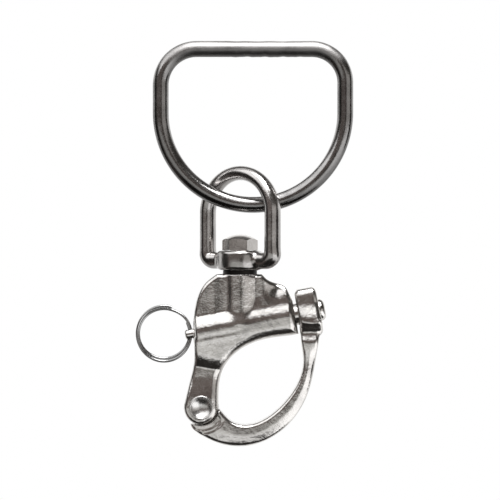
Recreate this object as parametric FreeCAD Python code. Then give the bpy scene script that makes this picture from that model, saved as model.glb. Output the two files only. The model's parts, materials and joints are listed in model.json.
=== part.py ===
"""Snap shackle with a swivel bail, linked to a welded D-ring.

Millimetres, +Z up. The origin is the middle of the D-ring's straight bar, with the bar along X and
the ring in the plane y = 0. The shackle hangs below. Outlines are drawn in that plane as (x, z).
"""
import FreeCAD, Part
import math
import os
from FreeCAD import Vector

# ---------------------------------------------------------------- driving dimensions
RING_WIRE = 5.0            # D-ring wire diameter
RING_HALF_WIDTH = 28.7     # centre line of the bow and of the short straight sides
RING_CORNER = 10.8
RING_BOW_Z = -19.75        # height of the bow's centre
WELD_X = (-7.0, 16.0)      # the butt weld's dressed zone on the bar
WELD_SWELL = 0.14          # how far the weld stands proud of the wire
WELD_SINK = 0.05           # how far its ends lie under the wire's surface

SWIVEL_X = -4.04           # vertical swivel axis
BAIL_TURN = 35.0           # degrees that the bail is turned on the swivel, right leg to the front
BAIL_WIRE = 4.7            # thickness of the bail's bar in the bail's own plane
BAIL_DEPTH = 5.8           # and across that plane
BAIL_RADIUS = 12.3         # centre line of the arch, and of the legs from the swivel axis
BAIL_CORNER = 2.5          # centre line radius of the two lower corners
BAIL_CROWN_Z = -50.85      # height of the arch's centre
HUB_TOP_Z = -62.7
HUB_HEIGHT = 6.0
HUB_DIAMETER = 14.6
HUB_EDGE = 1.4             # every _EDGE is the radius of a rounded edge

BOLT_AF = 9.6              # hexagon across flats
BOLT_TURN = -6.2           # degrees that the hexagon is turned
BOLT_HEAD_HEIGHT = 4.9
BOLT_DOME = 9.2            # radius of the head's domed top
BOLT_SHANK = 6.0
BOLT_END_Z = -78.6
WASHER_DIAMETER = 10.6
BODY_TOP_Z = -70.0
BOSS_RADIUS = 5.6          # round boss that takes the swivel bolt
BOSS_HEIGHT = 13.5
BLOCK_HALF = 5.0           # half depth of the thick upper block
BLOCK_EDGE = 1.5
LEFT_FACE_X = -18.3
STEP_Z = -97.4             # below this height the block steps down to the thinner cheeks

PLUNGER_TILT = 10.6        # degrees that the plunger's axis climbs towards +X
MOUTH = (12.6, -82.7)      # the axis at the barrel's open end
BARREL_RADIUS = 6.0
NOSE_DIAMETER = 6.85
NOSE_REACH = 10.0          # the nose stands this far out of the barrel at rest
NOSE_GUIDED = 8.0          # and is guided over this length inside it
NOSE_EDGE = 1.6
ROD_DIAMETER = 3.3
ROD_END = -34.3            # along the plunger's axis from the mouth
ROD_EDGE = 0.9
BORE_FLOOR = -27.6
SPRING_WIRE = 0.8
SPRING_COILS = 7

PIVOT = (-16.0, -111.3)    # gate pivot
CHEEK_RADIUS = 5.4
CHEEK_HALF = 4.5           # half of the fork's width over both cheeks
CHEEK_EDGE = 0.7
SLOT_HALF = 2.4            # half of the slot between them
RIVET_SHANK = 4.0
RIVET_HEAD = 7.46
RIVET_HEAD_HEIGHT = 0.8
RIVET_EDGE = 0.3
RIVET_DISH_RADIUS = 7.0    # of the hollow in each head
RIVET_DISH_DEPTH = 0.7

GATE_HALF = 4.2            # half of the gate arm's depth
GATE_EDGE = 1.2
GATE_CLEAR = 0.45          # between the arm's hollow root and the cheeks' round ends
HEEL_ANGLE = 250.0         # the hollow root runs round the pivot from here
ROOT_ANGLE = 6.0           # to here, through below
KNUCKLE_REACH = 1.2        # the knuckle reaches this far past the cheeks to meet the arm
KNUCKLE_TRIM = 6.0         # and stops this many degrees short of the root's end
HEAD_START = 1.4           # gate eye along the plunger's axis from the mouth
HEAD_LENGTH = 6.8
HEAD_RADIUS = 7.4
HEAD_HALF = 6.2            # half depth between the eye's flats
HEAD_EDGE = 1.4
EYE_FIT = 0.1              # radial clearance of the nose in the eye

PULL_WIRE = 0.9            # split ring
PULL_RADIUS = 8.3          # centre line of its turns
PULL_HOLE_X = -19.5        # where the cross hole meets the plunger's axis
PULL_HOLE_RADIUS = 1.1

FIT = 0.06                 # radial clearance of every running fit
GAP = 0.12                 # face clearance beside a turning part
SLOT_CLEAR = 0.2           # round the knuckle
PAST = 60.0                # cutters run past the parts by this much

X_AXIS = Vector(1, 0, 0)
Y_AXIS = Vector(0, 1, 0)
Z_AXIS = Vector(0, 0, 1)
tilt = math.radians(PLUNGER_TILT)
PLUNGER_AXIS = Vector(math.cos(tilt), 0, math.sin(tilt))
ACROSS = Vector(-math.sin(tilt), 0, math.cos(tilt))


# ---------------------------------------------------------------- helpers
def at(x, z):
    """A point of the plane y = 0."""
    return Vector(x, 0, z)


def on_axis(s, t=0.0):
    """A point s along the plunger's axis from the barrel's mouth, and t above it, as (x, z)."""
    return (MOUTH[0] + s * math.cos(tilt) - t * math.sin(tilt),
            MOUTH[1] + s * math.sin(tilt) + t * math.cos(tilt))


def curve(points):
    """A smooth edge through a few points of the plane y = 0."""
    spline = Part.BSplineCurve()
    spline.interpolate([at(*p) for p in points])
    return spline.toShape()


def line(start, end):
    return Part.LineSegment(at(*start), at(*end)).toShape()


def arc(start, middle, end):
    return Part.Arc(at(*start), at(*middle), at(*end)).toShape()


def on_circle(centre, radius, degrees):
    angle = math.radians(degrees)
    return (centre[0] + radius * math.cos(angle), centre[1] + radius * math.sin(angle))


def plate(edges, half):
    """A flat solid on both sides of y = 0 from a closed outline."""
    face = Part.Face(Part.Wire(edges))
    face.translate(Vector(0, -half, 0))
    return face.extrude(Vector(0, 2 * half, 0))


def disc(centre, radius, y_from, y_to):
    """A cylinder along Y."""
    return Part.makeCylinder(radius, y_to - y_from, Vector(centre[0], y_from, centre[1]), Y_AXIS)


def on_axis_at_x(x):
    """Distance along the plunger's axis, from the mouth, of the place with this x."""
    return (x - MOUTH[0]) / math.cos(tilt)


def rod(radius, s_from, s_to):
    """A cylinder on the plunger's axis."""
    return Part.makeCylinder(radius, s_to - s_from, at(*on_axis(s_from)), PLUNGER_AXIS)


def rounded(solid, radius, wanted):
    """The solid with the edges that wanted(edge) picks rounded."""
    return solid.makeFillet(radius, [edge for edge in solid.Edges if wanted(edge)])


def round_loop(path, radius, start):
    """A round wire along a closed path that leaves its start point in the direction of +X."""
    section = Part.Wire(Part.makeCircle(radius, at(*start), X_AXIS))
    return Part.Wire(path).makePipeShell([section], True, True)


# ---------------------------------------------------------------- D-ring
def make_d_ring():
    side_z = -RING_CORNER
    corner_x = RING_HALF_WIDTH - RING_CORNER
    diagonal = math.sqrt(0.5) * RING_CORNER
    path = []
    path.append(line((-corner_x, 0), (corner_x, 0)))
    path.append(arc((corner_x, 0), (corner_x + diagonal, side_z + diagonal), (RING_HALF_WIDTH, side_z)))
    path.append(line((RING_HALF_WIDTH, side_z), (RING_HALF_WIDTH, RING_BOW_Z)))
    bottom = (0, RING_BOW_Z - RING_HALF_WIDTH)
    path.append(arc((RING_HALF_WIDTH, RING_BOW_Z), bottom, (-RING_HALF_WIDTH, RING_BOW_Z)))
    path.append(line((-RING_HALF_WIDTH, RING_BOW_Z), (-RING_HALF_WIDTH, side_z)))
    path.append(arc((-RING_HALF_WIDTH, side_z), (-corner_x - diagonal, side_z + diagonal), (-corner_x, 0)))
    ring = round_loop(path, RING_WIRE / 2, (-corner_x, 0))

    weld_middle = sum(WELD_X) / 2
    weld = []
    for x, swell in ((WELD_X[0], -WELD_SINK), (weld_middle, WELD_SWELL), (WELD_X[1], -WELD_SINK)):
        weld.append(Part.Wire(Part.makeCircle(RING_WIRE / 2 + swell, at(x, 0), X_AXIS)))
    return ring.fuse(Part.makeLoft(weld, True)).removeSplitter()


# ---------------------------------------------------------------- swivel: bail, bolt, washer
def make_bail():
    """Drawn in the plane y = 0 about the swivel axis, then turned on it."""
    foot_z = HUB_TOP_Z - HUB_HEIGHT / 2
    inner_x = BAIL_RADIUS - BAIL_CORNER
    leg_z = foot_z + BAIL_CORNER
    diagonal = math.sqrt(0.5) * BAIL_CORNER
    path = []
    path.append(line((-inner_x, foot_z), (inner_x, foot_z)))
    path.append(arc((inner_x, foot_z), (inner_x + diagonal, leg_z - diagonal), (BAIL_RADIUS, leg_z)))
    path.append(line((BAIL_RADIUS, leg_z), (BAIL_RADIUS, BAIL_CROWN_Z)))
    crown = (0, BAIL_CROWN_Z + BAIL_RADIUS)
    path.append(arc((BAIL_RADIUS, BAIL_CROWN_Z), crown, (-BAIL_RADIUS, BAIL_CROWN_Z)))
    path.append(line((-BAIL_RADIUS, BAIL_CROWN_Z), (-BAIL_RADIUS, leg_z)))
    path.append(arc((-BAIL_RADIUS, leg_z), (-inner_x - diagonal, leg_z - diagonal), (-inner_x, foot_z)))
    loop = round_loop(path, BAIL_WIRE / 2, (-inner_x, foot_z))
    deepen = FreeCAD.Matrix()
    deepen.scale(1, BAIL_DEPTH / BAIL_WIRE, 1)
    loop = loop.transformGeometry(deepen)

    hub = Part.makeCylinder(HUB_DIAMETER / 2, HUB_HEIGHT, at(0, HUB_TOP_Z - HUB_HEIGHT))
    hub = rounded(hub, HUB_EDGE, lambda edge: edge.Closed)
    bore = Part.makeCylinder(BOLT_SHANK / 2 + FIT, 2 * HUB_HEIGHT, at(0, HUB_TOP_Z - 1.5 * HUB_HEIGHT))
    bail = hub.fuse(loop).cut(bore)
    bail.rotate(Vector(), Z_AXIS, -BAIL_TURN)
    bail.translate(at(SWIVEL_X, 0))
    return bail


def make_swivel_bolt():
    base_z = HUB_TOP_Z + GAP
    corner_radius = BOLT_AF / math.sqrt(3)
    corners = []
    for k in range(7):
        angle = math.radians(60 * k + BOLT_TURN)
        corners.append(Vector(corner_radius * math.cos(angle), corner_radius * math.sin(angle), 0))
    head = Part.Face(Part.makePolygon(corners)).extrude(Vector(0, 0, BOLT_HEAD_HEIGHT))
    head = head.common(Part.makeSphere(BOLT_DOME, Vector(0, 0, BOLT_HEAD_HEIGHT - BOLT_DOME)))
    shank = Part.makeCylinder(BOLT_SHANK / 2, base_z - BOLT_END_Z, Vector(0, 0, BOLT_END_Z - base_z))
    bolt = head.fuse(shank)
    bolt.translate(at(SWIVEL_X, base_z))
    return bolt


def make_swivel_washer():
    height = HUB_TOP_Z - HUB_HEIGHT - GAP - BODY_TOP_Z
    ring = Part.makeCylinder(WASHER_DIAMETER / 2, height, at(SWIVEL_X, BODY_TOP_Z))
    return ring.cut(Part.makeCylinder(BOLT_SHANK / 2 + FIT, height, at(SWIVEL_X, BODY_TOP_Z)))


# ---------------------------------------------------------------- body
def body_outline():
    top_left = (-11.2, BODY_TOP_Z)
    top_right = (2.8, BODY_TOP_Z)
    cheek_left = on_circle(PIVOT, CHEEK_RADIUS, 163)
    cheek_right = on_circle(PIVOT, CHEEK_RADIUS, 8)
    left = [top_left, (-14.7, -72.7), (-17.4, -77.8), (LEFT_FACE_X, -83.5), (LEFT_FACE_X, -90.0),
            (-18.2, -96.6), (-19.4, -102.5), cheek_left]
    inner = [cheek_right, (-10.6, -105.6), (-9.6, -100.2), (-6.9, -95.9), (-2.0, -92.2), (3.7, -90.1),
             on_axis(-2.0, -6.0)]
    shoulder = [on_axis(0, 5.2), on_axis(-0.3, 7.0), (10.0, -74.0), (7.2, -72.8), (4.4, -71.6), top_right]
    return [curve(left),
            arc(cheek_left, on_circle(PIVOT, CHEEK_RADIUS, 265), cheek_right),
            curve(inner),
            line(on_axis(-2.0, -6.0), on_axis(0, -6.0)),
            line(on_axis(0, -6.0), on_axis(0, 5.2)),
            curve(shoulder),
            line(top_right, top_left)]


def make_body():
    outline = body_outline()
    cheeks = plate(outline, CHEEK_HALF)
    cheeks = rounded(cheeks, CHEEK_EDGE, lambda edge: abs(abs(edge.CenterOfMass.y) - CHEEK_HALF) < 0.01)
    above_step = Part.makeBox(2 * PAST, 2 * PAST, PAST, Vector(-PAST, -PAST, STEP_Z))
    block = plate(outline, BLOCK_HALF)
    block = rounded(block, BLOCK_EDGE, lambda edge: abs(abs(edge.CenterOfMass.y) - BLOCK_HALF) < 0.01)
    block = block.common(above_step)
    barrel = rod(BARREL_RADIUS, on_axis_at_x(LEFT_FACE_X + BLOCK_EDGE), 0)
    boss = Part.makeCylinder(BOSS_RADIUS, BOSS_HEIGHT, at(SWIVEL_X, BODY_TOP_Z - BOSS_HEIGHT))
    body = cheeks.fuse(block).fuse(barrel).fuse(boss)

    for cutter in (rod(NOSE_DIAMETER / 2 + FIT, BORE_FLOOR, PAST),
                   rod(ROD_DIAMETER / 2 + FIT, -PAST, 0),
                   Part.makeCylinder(BOLT_SHANK / 2, PAST, at(SWIVEL_X, BOLT_END_Z)),
                   disc(PIVOT, CHEEK_RADIUS + SLOT_CLEAR, -SLOT_HALF, SLOT_HALF),
                   disc(PIVOT, RIVET_SHANK / 2, -PAST, PAST)):
        body = body.cut(cutter)
    return body.removeSplitter()


# ---------------------------------------------------------------- plunger, spring, pull ring
def make_plunger():
    nose = rod(NOSE_DIAMETER / 2, -NOSE_GUIDED, NOSE_REACH)
    nose = rounded(nose, NOSE_EDGE, lambda edge: edge.Closed and edge.CenterOfMass.x > MOUTH[0])
    stem = rod(ROD_DIAMETER / 2, ROD_END, -NOSE_GUIDED)
    stem = rounded(stem, ROD_EDGE, lambda edge: edge.Closed and edge.CenterOfMass.x < LEFT_FACE_X)
    hole_s = on_axis_at_x(PULL_HOLE_X)
    hole = Part.makeCylinder(PULL_HOLE_RADIUS, 2 * PAST, at(*on_axis(hole_s, -PAST)), ACROSS)
    return nose.fuse(stem).cut(hole)


def make_plunger_spring():
    start = BORE_FLOOR + FIT + SPRING_WIRE / 2
    length = -NOSE_GUIDED - FIT - SPRING_WIRE / 2 - start
    radius = NOSE_DIAMETER / 2 - GAP - SPRING_WIRE / 2
    helix = Part.makeLongHelix(length / SPRING_COILS, length, radius)
    section = Part.Wire(Part.makeCircle(SPRING_WIRE / 2, Vector(radius, 0, 0), Y_AXIS))
    spring = Part.Wire(helix).makePipeShell([section], True, True)
    spring.Placement = FreeCAD.Placement(at(*on_axis(start)), FreeCAD.Rotation(Z_AXIS, PLUNGER_AXIS))
    return spring


def make_pull_ring():
    """Two turns side by side, joined where the split ring steps over from one to the other."""
    hole = at(*on_axis(on_axis_at_x(PULL_HOLE_X)))
    centre = hole - X_AXIS * PULL_RADIUS
    side = Vector(0, 0.47 * PULL_WIRE, 0)
    turns = Part.makeTorus(PULL_RADIUS, PULL_WIRE / 2, centre - side, Y_AXIS)
    return turns.fuse(Part.makeTorus(PULL_RADIUS, PULL_WIRE / 2, centre + side, Y_AXIS))


# ---------------------------------------------------------------- gate and rivet
def gate_outline():
    head_low = on_axis(HEAD_START, -4.0)
    outer_start = on_axis(HEAD_START + HEAD_LENGTH, -2.5)
    hollow = CHEEK_RADIUS + GATE_CLEAR
    heel = on_circle(PIVOT, hollow, HEEL_ANGLE)
    root = on_circle(PIVOT, hollow, ROOT_ANGLE)
    outer = [outer_start, (20.4, -90.5), (19.4, -96.7), (17.3, -106.1), (12.8, -114.5), (5.9, -120.5),
             (-2.8, -123.3), (-11.8, -121.2), heel]
    inner = [root, (-8.9, -113.5), (-6.5, -115.7), (-1.2, -116.6), (5.3, -113.8), (10.9, -108.4),
             (14.2, -103.0), (15.6, -97.0), (15.0, -91.6), head_low]
    return [curve(outer),
            arc(heel, on_circle(PIVOT, hollow, (HEEL_ANGLE + ROOT_ANGLE + 360) / 2), root),
            curve(inner),
            line(head_low, outer_start)]


def sector(centre, radius, start, end):
    """A slice of a disc as thick as the fork's slot, from one angle to the other in degrees."""
    first, last = on_circle(centre, radius, start), on_circle(centre, radius, end)
    middle = on_circle(centre, radius, (start + end) / 2)
    return plate([line(centre, first), arc(first, middle, last), line(last, centre)], SLOT_HALF)


def make_gate():
    arm = plate(gate_outline(), GATE_HALF)
    longest = max(edge.Length for edge in arm.Edges)
    arm = rounded(arm, GATE_EDGE, lambda edge: edge.Length > longest - 0.1)
    head = rod(HEAD_RADIUS, HEAD_START, HEAD_START + HEAD_LENGTH)
    head = rounded(head, HEAD_EDGE, lambda edge: edge.Closed)
    flats = Part.makeBox(PAST, 2 * HEAD_HALF, PAST, Vector(0, -HEAD_HALF, MOUTH[1] - PAST / 2))
    head = head.common(flats)
    inner_half = SLOT_HALF - GAP
    knuckle = disc(PIVOT, CHEEK_RADIUS, -inner_half, inner_half)
    web = disc(PIVOT, CHEEK_RADIUS + KNUCKLE_REACH, -inner_half, inner_half)
    web = web.common(sector(PIVOT, 2 * CHEEK_RADIUS, HEEL_ANGLE, ROOT_ANGLE + 360 - KNUCKLE_TRIM))
    gate = arm.fuse(head).fuse(knuckle).fuse(web)
    gate = gate.cut(rod(NOSE_DIAMETER / 2 + EYE_FIT, 0, PAST))
    gate = gate.cut(disc(PIVOT, RIVET_SHANK / 2 + FIT, -PAST, PAST))
    return gate.removeSplitter()


def make_gate_rivet():
    half = CHEEK_HALF + RIVET_HEAD_HEIGHT
    shank_radius = RIVET_SHANK / 2
    rivet = disc(PIVOT, shank_radius, -CHEEK_HALF, CHEEK_HALF)
    dish_centre = half + RIVET_DISH_RADIUS - RIVET_DISH_DEPTH
    for side in (-1, 1):
        near, far = sorted((side * CHEEK_HALF, side * half))
        head = rounded(disc(PIVOT, RIVET_HEAD / 2, near, far), RIVET_EDGE,
                       lambda edge: abs(edge.CenterOfMass.y - side * half) < 0.01)
        dish = Part.makeSphere(RIVET_DISH_RADIUS, Vector(PIVOT[0], side * dish_centre, PIVOT[1]))
        rivet = rivet.fuse(head).cut(dish)
    return rivet


# ---------------------------------------------------------------- one STEP file for each piece
PIECES = {
    "d_ring": make_d_ring,
    "bail": make_bail,
    "swivel_bolt": make_swivel_bolt,
    "swivel_washer": make_swivel_washer,
    "body": make_body,
    "plunger": make_plunger,
    "plunger_spring": make_plunger_spring,
    "pull_ring": make_pull_ring,
    "gate": make_gate,
    "gate_rivet": make_gate_rivet,
}

os.makedirs("parts", exist_ok=True)
for name, make in PIECES.items():
    shape = make()
    solids = len(shape.Solids)
    box = shape.BoundBox
    shape.exportStep(f"parts/{name}.step")
    print(f"{name}: valid {shape.isValid()}, solids {solids}, volume {shape.Volume:.1f}, "
          f"box {box.XLength:.2f} x {box.YLength:.2f} x {box.ZLength:.2f}")
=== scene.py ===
"""Looks of the snap shackle: cast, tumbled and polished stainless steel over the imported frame."""
import json
import math

import bpy
import numpy as np
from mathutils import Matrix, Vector


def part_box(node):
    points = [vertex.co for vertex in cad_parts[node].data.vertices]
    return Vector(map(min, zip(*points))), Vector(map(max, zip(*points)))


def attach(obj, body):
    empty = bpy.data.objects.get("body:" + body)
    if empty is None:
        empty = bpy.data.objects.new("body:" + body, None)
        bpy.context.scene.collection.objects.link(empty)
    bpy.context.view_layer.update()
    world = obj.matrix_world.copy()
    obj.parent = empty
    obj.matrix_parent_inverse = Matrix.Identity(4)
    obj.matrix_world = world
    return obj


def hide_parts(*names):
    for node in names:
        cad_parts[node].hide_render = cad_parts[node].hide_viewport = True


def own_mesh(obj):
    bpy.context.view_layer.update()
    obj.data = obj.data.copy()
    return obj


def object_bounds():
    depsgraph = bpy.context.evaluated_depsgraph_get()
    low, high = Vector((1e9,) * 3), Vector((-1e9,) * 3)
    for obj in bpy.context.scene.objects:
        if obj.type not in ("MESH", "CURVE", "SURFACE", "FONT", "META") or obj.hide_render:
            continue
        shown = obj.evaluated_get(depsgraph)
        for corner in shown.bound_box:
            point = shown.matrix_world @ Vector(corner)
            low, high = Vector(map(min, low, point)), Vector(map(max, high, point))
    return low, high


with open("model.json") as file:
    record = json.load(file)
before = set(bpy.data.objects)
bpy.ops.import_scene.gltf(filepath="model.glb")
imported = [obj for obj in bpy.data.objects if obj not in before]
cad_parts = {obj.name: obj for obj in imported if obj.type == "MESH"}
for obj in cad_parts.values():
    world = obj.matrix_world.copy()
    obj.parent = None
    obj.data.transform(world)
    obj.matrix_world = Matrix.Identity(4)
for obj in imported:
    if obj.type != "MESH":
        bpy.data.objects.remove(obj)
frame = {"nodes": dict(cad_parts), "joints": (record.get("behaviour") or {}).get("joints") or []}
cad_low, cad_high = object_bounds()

MM = 0.001    # shapes below are worked out in millimetres, in the frame's own axes

RUNNING = 0.06             # clearance of a running fit
FACE_GAP = 0.12            # clearance beside the face of a turning part

joints = {joint["name"]: joint for joint in frame["joints"]}


def millimetres(point):
    return np.array(point, float) / MM


def box_mm(node):
    low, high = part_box(node)
    return millimetres(low), millimetres(high)


# ---------------------------------------------------------------- places, from the frame
PIVOT = millimetres(joints["gate_pivot"]["pos_m"])
SWIVEL = millimetres(joints["swivel"]["pos_m"])
PLUNGER = -np.array(joints["plunger_slide"]["axis"], float)
PULL_HOLE = millimetres(joints["ring_swing"]["pos_m"])
HOLE_TO_MOUTH = 32.66      # along the plunger's axis, from its cross hole to the barrel's mouth
MOUTH = PULL_HOLE + PLUNGER * HOLE_TO_MOUTH
RING_LOW, RING_HIGH = box_mm("d_ring")
HUB_BOTTOM = box_mm("swivel_washer")[1][2] + FACE_GAP
BODY_TOP = box_mm("swivel_washer")[0][2]
RIVET_TOP = box_mm("gate_rivet")[1][1]


# ---------------------------------------------------------------- fields: signed distances, negative inside
def smooth_min(a, b, reach):
    """The union of two fields with a fillet."""
    share = np.clip(0.5 + 0.5 * (b - a) / reach, 0, 1)
    return b + (a - b) * share - reach * share * (1 - share)


def smooth_max(a, b, reach):
    """The common part of two fields with a rounded edge."""
    return -smooth_min(-a, -b, reach)


def smooth_step(value, start, end):
    share = np.clip((value - start) / (end - start), 0, 1)
    return share * share * (3 - 2 * share)


def slab(side, depth, rounding):
    """What lies inside both fields, with its outer edge rounded."""
    a, b = side + rounding, depth + rounding
    outside = np.hypot(np.maximum(a, 0), np.maximum(b, 0))
    return outside + np.minimum(np.maximum(a, b), 0) - rounding


def smooth_curve(points, step=0.3):
    """Points along a natural cubic spline through a few points (x, z)."""
    knots = np.array(points, float)
    chord = np.linalg.norm(np.diff(knots, axis=0), axis=1)
    place = np.concatenate([[0], np.cumsum(chord)])
    count = len(knots)
    system = np.eye(count)
    rising = np.zeros((count, 2))
    for k in range(1, count - 1):
        before, after = chord[k - 1], chord[k]
        system[k, k - 1:k + 2] = before, 2 * (before + after), after
        rising[k] = 6 * ((knots[k + 1] - knots[k]) / after - (knots[k] - knots[k - 1]) / before)
    bend = np.linalg.solve(system, rising)
    at = np.linspace(0, place[-1], int(place[-1] / step) + 2)
    k = np.clip(np.searchsorted(place, at, side="right") - 1, 0, count - 2)
    length = chord[k][:, None]
    b = (at - place[k])[:, None] / length
    a = 1 - b
    pull = ((a ** 3 - a) * bend[k] + (b ** 3 - b) * bend[k + 1]) * length ** 2 / 6
    return a * knots[k] + b * knots[k + 1] + pull


def round_arc(centre, radius, start, end, count=40):
    angles = np.radians(np.linspace(start, end, count))
    return np.stack([centre[0] + radius * np.cos(angles), centre[1] + radius * np.sin(angles)], 1)


class Outline:
    """Distance to a line of the plane y = 0, read from a fine grid: signed if the line is closed."""

    def __init__(self, stretches, closed=True, margin=4.0, cell=0.12):
        line = np.concatenate(stretches)
        ends = np.roll(line, -1, 0)
        if not closed:
            line, ends = line[:-1], ends[:-1]
        self.low, self.cell = line.min(0) - margin, cell
        high = line.max(0) + margin
        x = np.arange(self.low[0], high[0] + cell, cell)[:, None]
        z = np.arange(self.low[1], high[1] + cell, cell)[None, :]
        nearest = np.full((x.shape[0], z.shape[1]), 1e9)
        inside = np.zeros(nearest.shape, bool)
        for (x0, z0), (x1, z1) in zip(line, ends):
            dx, dz = x1 - x0, z1 - z0
            length2 = dx * dx + dz * dz
            if length2 < 1e-12:
                continue
            along = np.clip(((x - x0) * dx + (z - z0) * dz) / length2, 0, 1)
            nearest = np.minimum(nearest, (x - x0 - along * dx) ** 2 + (z - z0 - along * dz) ** 2)
            if closed and z0 != z1:
                crosses = ((z0 > z) != (z1 > z)) & (x < x0 + dx * (z - z0) / dz)
                inside ^= crosses
        self.grid = np.sqrt(nearest) * np.where(inside, -1, 1)

    def __call__(self, x, z):
        a = np.clip((x - self.low[0]) / self.cell, 0, self.grid.shape[0] - 1.001)
        b = np.clip((z - self.low[1]) / self.cell, 0, self.grid.shape[1] - 1.001)
        i, j = a.astype(int), b.astype(int)
        a, b = a - i, b - j
        g = self.grid
        low = g[i, j] * (1 - a) + g[i + 1, j] * a
        high = g[i, j + 1] * (1 - a) + g[i + 1, j + 1] * a
        return low * (1 - b) + high * b


# ---------------------------------------------------------------- a mesh from a field
GRID_CELL = 0.25
GRID_MARGIN = 0.8          # the grid reaches this far past the node's box
SETTLING_ROUNDS = 3        # how often the vertices are moved onto the surface
CORNERS = [(i, j, k) for i in (0, 1) for j in (0, 1) for k in (0, 1)]
EDGES = [(a, b) for a in CORNERS for b in CORNERS if a < b and sum(abs(p - q) for p, q in zip(a, b)) == 1]


def surface(field, low, high, cell):
    """Vertices and quads on the zero of a field: one vertex in each cell that the surface crosses."""
    axes = [np.arange(lo, hi + cell, cell) for lo, hi in zip(low, high)]
    x, y, z = (axis.reshape([-1 if k == n else 1 for k in range(3)]) for n, axis in enumerate(axes))
    values = np.broadcast_to(field(x, y, z), [len(axis) for axis in axes])
    size = [n - 1 for n in values.shape]

    def corner(c):
        return values[c[0]:c[0] + size[0], c[1]:c[1] + size[1], c[2]:c[2] + size[2]]

    below = sum((corner(c) < 0).astype(np.int8) for c in CORNERS)
    cells = np.argwhere((below > 0) & (below < 8))
    number = np.full(size, -1)
    number[tuple(cells.T)] = np.arange(len(cells))
    total, hits = np.zeros((len(cells), 3)), np.zeros(len(cells))
    for a, b in EDGES:
        va = values[tuple((cells + a).T)]
        vb = values[tuple((cells + b).T)]
        crossed = (va < 0) != (vb < 0)
        share = np.where(crossed, va / np.where(crossed, va - vb, 1), 0)[:, None]
        total += crossed[:, None] * (np.array(a) + share * (np.array(b) - np.array(a)))
        hits += crossed
    points = np.array([axis[0] for axis in axes]) + cell * (cells + total / hits[:, None])

    quads = []
    for n in range(3):
        u, v = (n + 1) % 3, (n + 2) % 3
        start = [slice(None)] * 3
        end = [slice(None)] * 3
        start[n], end[n] = slice(0, -1), slice(1, None)
        low_in = values[tuple(start)] < 0
        crossed = np.argwhere(low_in != (values[tuple(end)] < 0))
        crossed = crossed[(crossed[:, u] > 0) & (crossed[:, v] > 0)]
        crossed = crossed[(crossed[:, u] < size[u]) & (crossed[:, v] < size[v])]
        ring = []
        for du, dv in ((0, 0), (1, 0), (1, 1), (0, 1)):
            place = crossed.copy()
            place[:, u] -= 1 - du
            place[:, v] -= 1 - dv
            ring.append(number[tuple(place.T)])
        ring = np.stack(ring, 1)
        outward = low_in[tuple(crossed.T)]
        quads.append(np.where(outward[:, None], ring, ring[:, ::-1]))
    quads = np.concatenate(quads)
    quads = quads[(quads >= 0).all(1)]
    return points, quads


def slope(field, points, reach=0.07):
    """The field's gradient at some points."""
    parts = []
    for n in range(3):
        shift = np.zeros(3)
        shift[n] = reach
        ahead, behind = (points + shift).T, (points - shift).T
        parts.append((field(*ahead) - field(*behind)) / (2 * reach))
    return np.stack(parts, 1)


def piece_from_points(name, points, faces, material, normals=None):
    """A smooth-shaded object from points in millimetres."""
    mesh = bpy.data.meshes.new(name)
    mesh.from_pydata((points * MM).tolist(), [], faces)
    mesh.validate()
    mesh.polygons.foreach_set("use_smooth", np.ones(len(mesh.polygons), bool))
    mesh.materials.append(material)
    if normals is not None:
        mesh.normals_split_custom_set_from_vertices(normals.tolist())
    thing = bpy.data.objects.new(name, mesh)
    bpy.context.scene.collection.objects.link(thing)
    return thing


def cast_piece(name, field, node_name, cell, material):
    """A piece whose surface is the zero of field, somewhere in the box of a CAD node."""
    low, high = box_mm(node_name)
    points, quads = surface(field, low - GRID_MARGIN, high + GRID_MARGIN, cell)
    for _ in range(SETTLING_ROUNDS):
        grade = slope(field, points)
        steep = np.maximum((grade ** 2).sum(1), 0.2)
        move = -(field(*points.T) / steep)[:, None] * grade
        points += np.clip(move, -cell, cell)
    grade = slope(field, points)
    normals = grade / np.maximum(np.linalg.norm(grade, axis=1), 1e-6)[:, None]
    return piece_from_points(name, points, quads.tolist(), material, normals)


# ---------------------------------------------------------------- materials
def node(tree, kind, **values):
    made = tree.nodes.new(kind)
    for key, value in values.items():
        if key in made.inputs:
            made.inputs[key].default_value = value
        else:
            setattr(made, key, value)
    return made


def noise(tree, coordinates, scale, detail):
    texture = node(tree, "ShaderNodeTexNoise", Scale=scale, Detail=detail, Roughness=0.55)
    tree.links.new(coordinates, texture.inputs["Vector"])
    return texture.outputs["Fac"]


def mapped(tree, value, low, high, from_low=0.3, from_high=0.7):
    """A value stretched so that from_low to from_high becomes low to high."""
    ranged = node(tree, "ShaderNodeMapRange")
    limits = {"From Min": from_low, "From Max": from_high, "To Min": low, "To Max": high}
    for key, number in limits.items():
        ranged.inputs[key].default_value = number
    tree.links.new(value, ranged.inputs["Value"])
    return ranged.outputs["Result"]


STAIN_SCALE = 180.0        # of the stains and of the two sizes of slow waves, per metre
LONG_WAVE_SCALE, SHORT_WAVE_SCALE = 220.0, 900.0
SHORT_WAVE_SHARE = 0.7     # height of the short waves against the long ones
STAIN_SHADE = 0.70         # the colour inside a stain, against the plain colour
DRESSED_FROM, DRESSED_TO = -5 * MM, -2 * MM    # heights between which the dressed stretch begins


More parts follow.
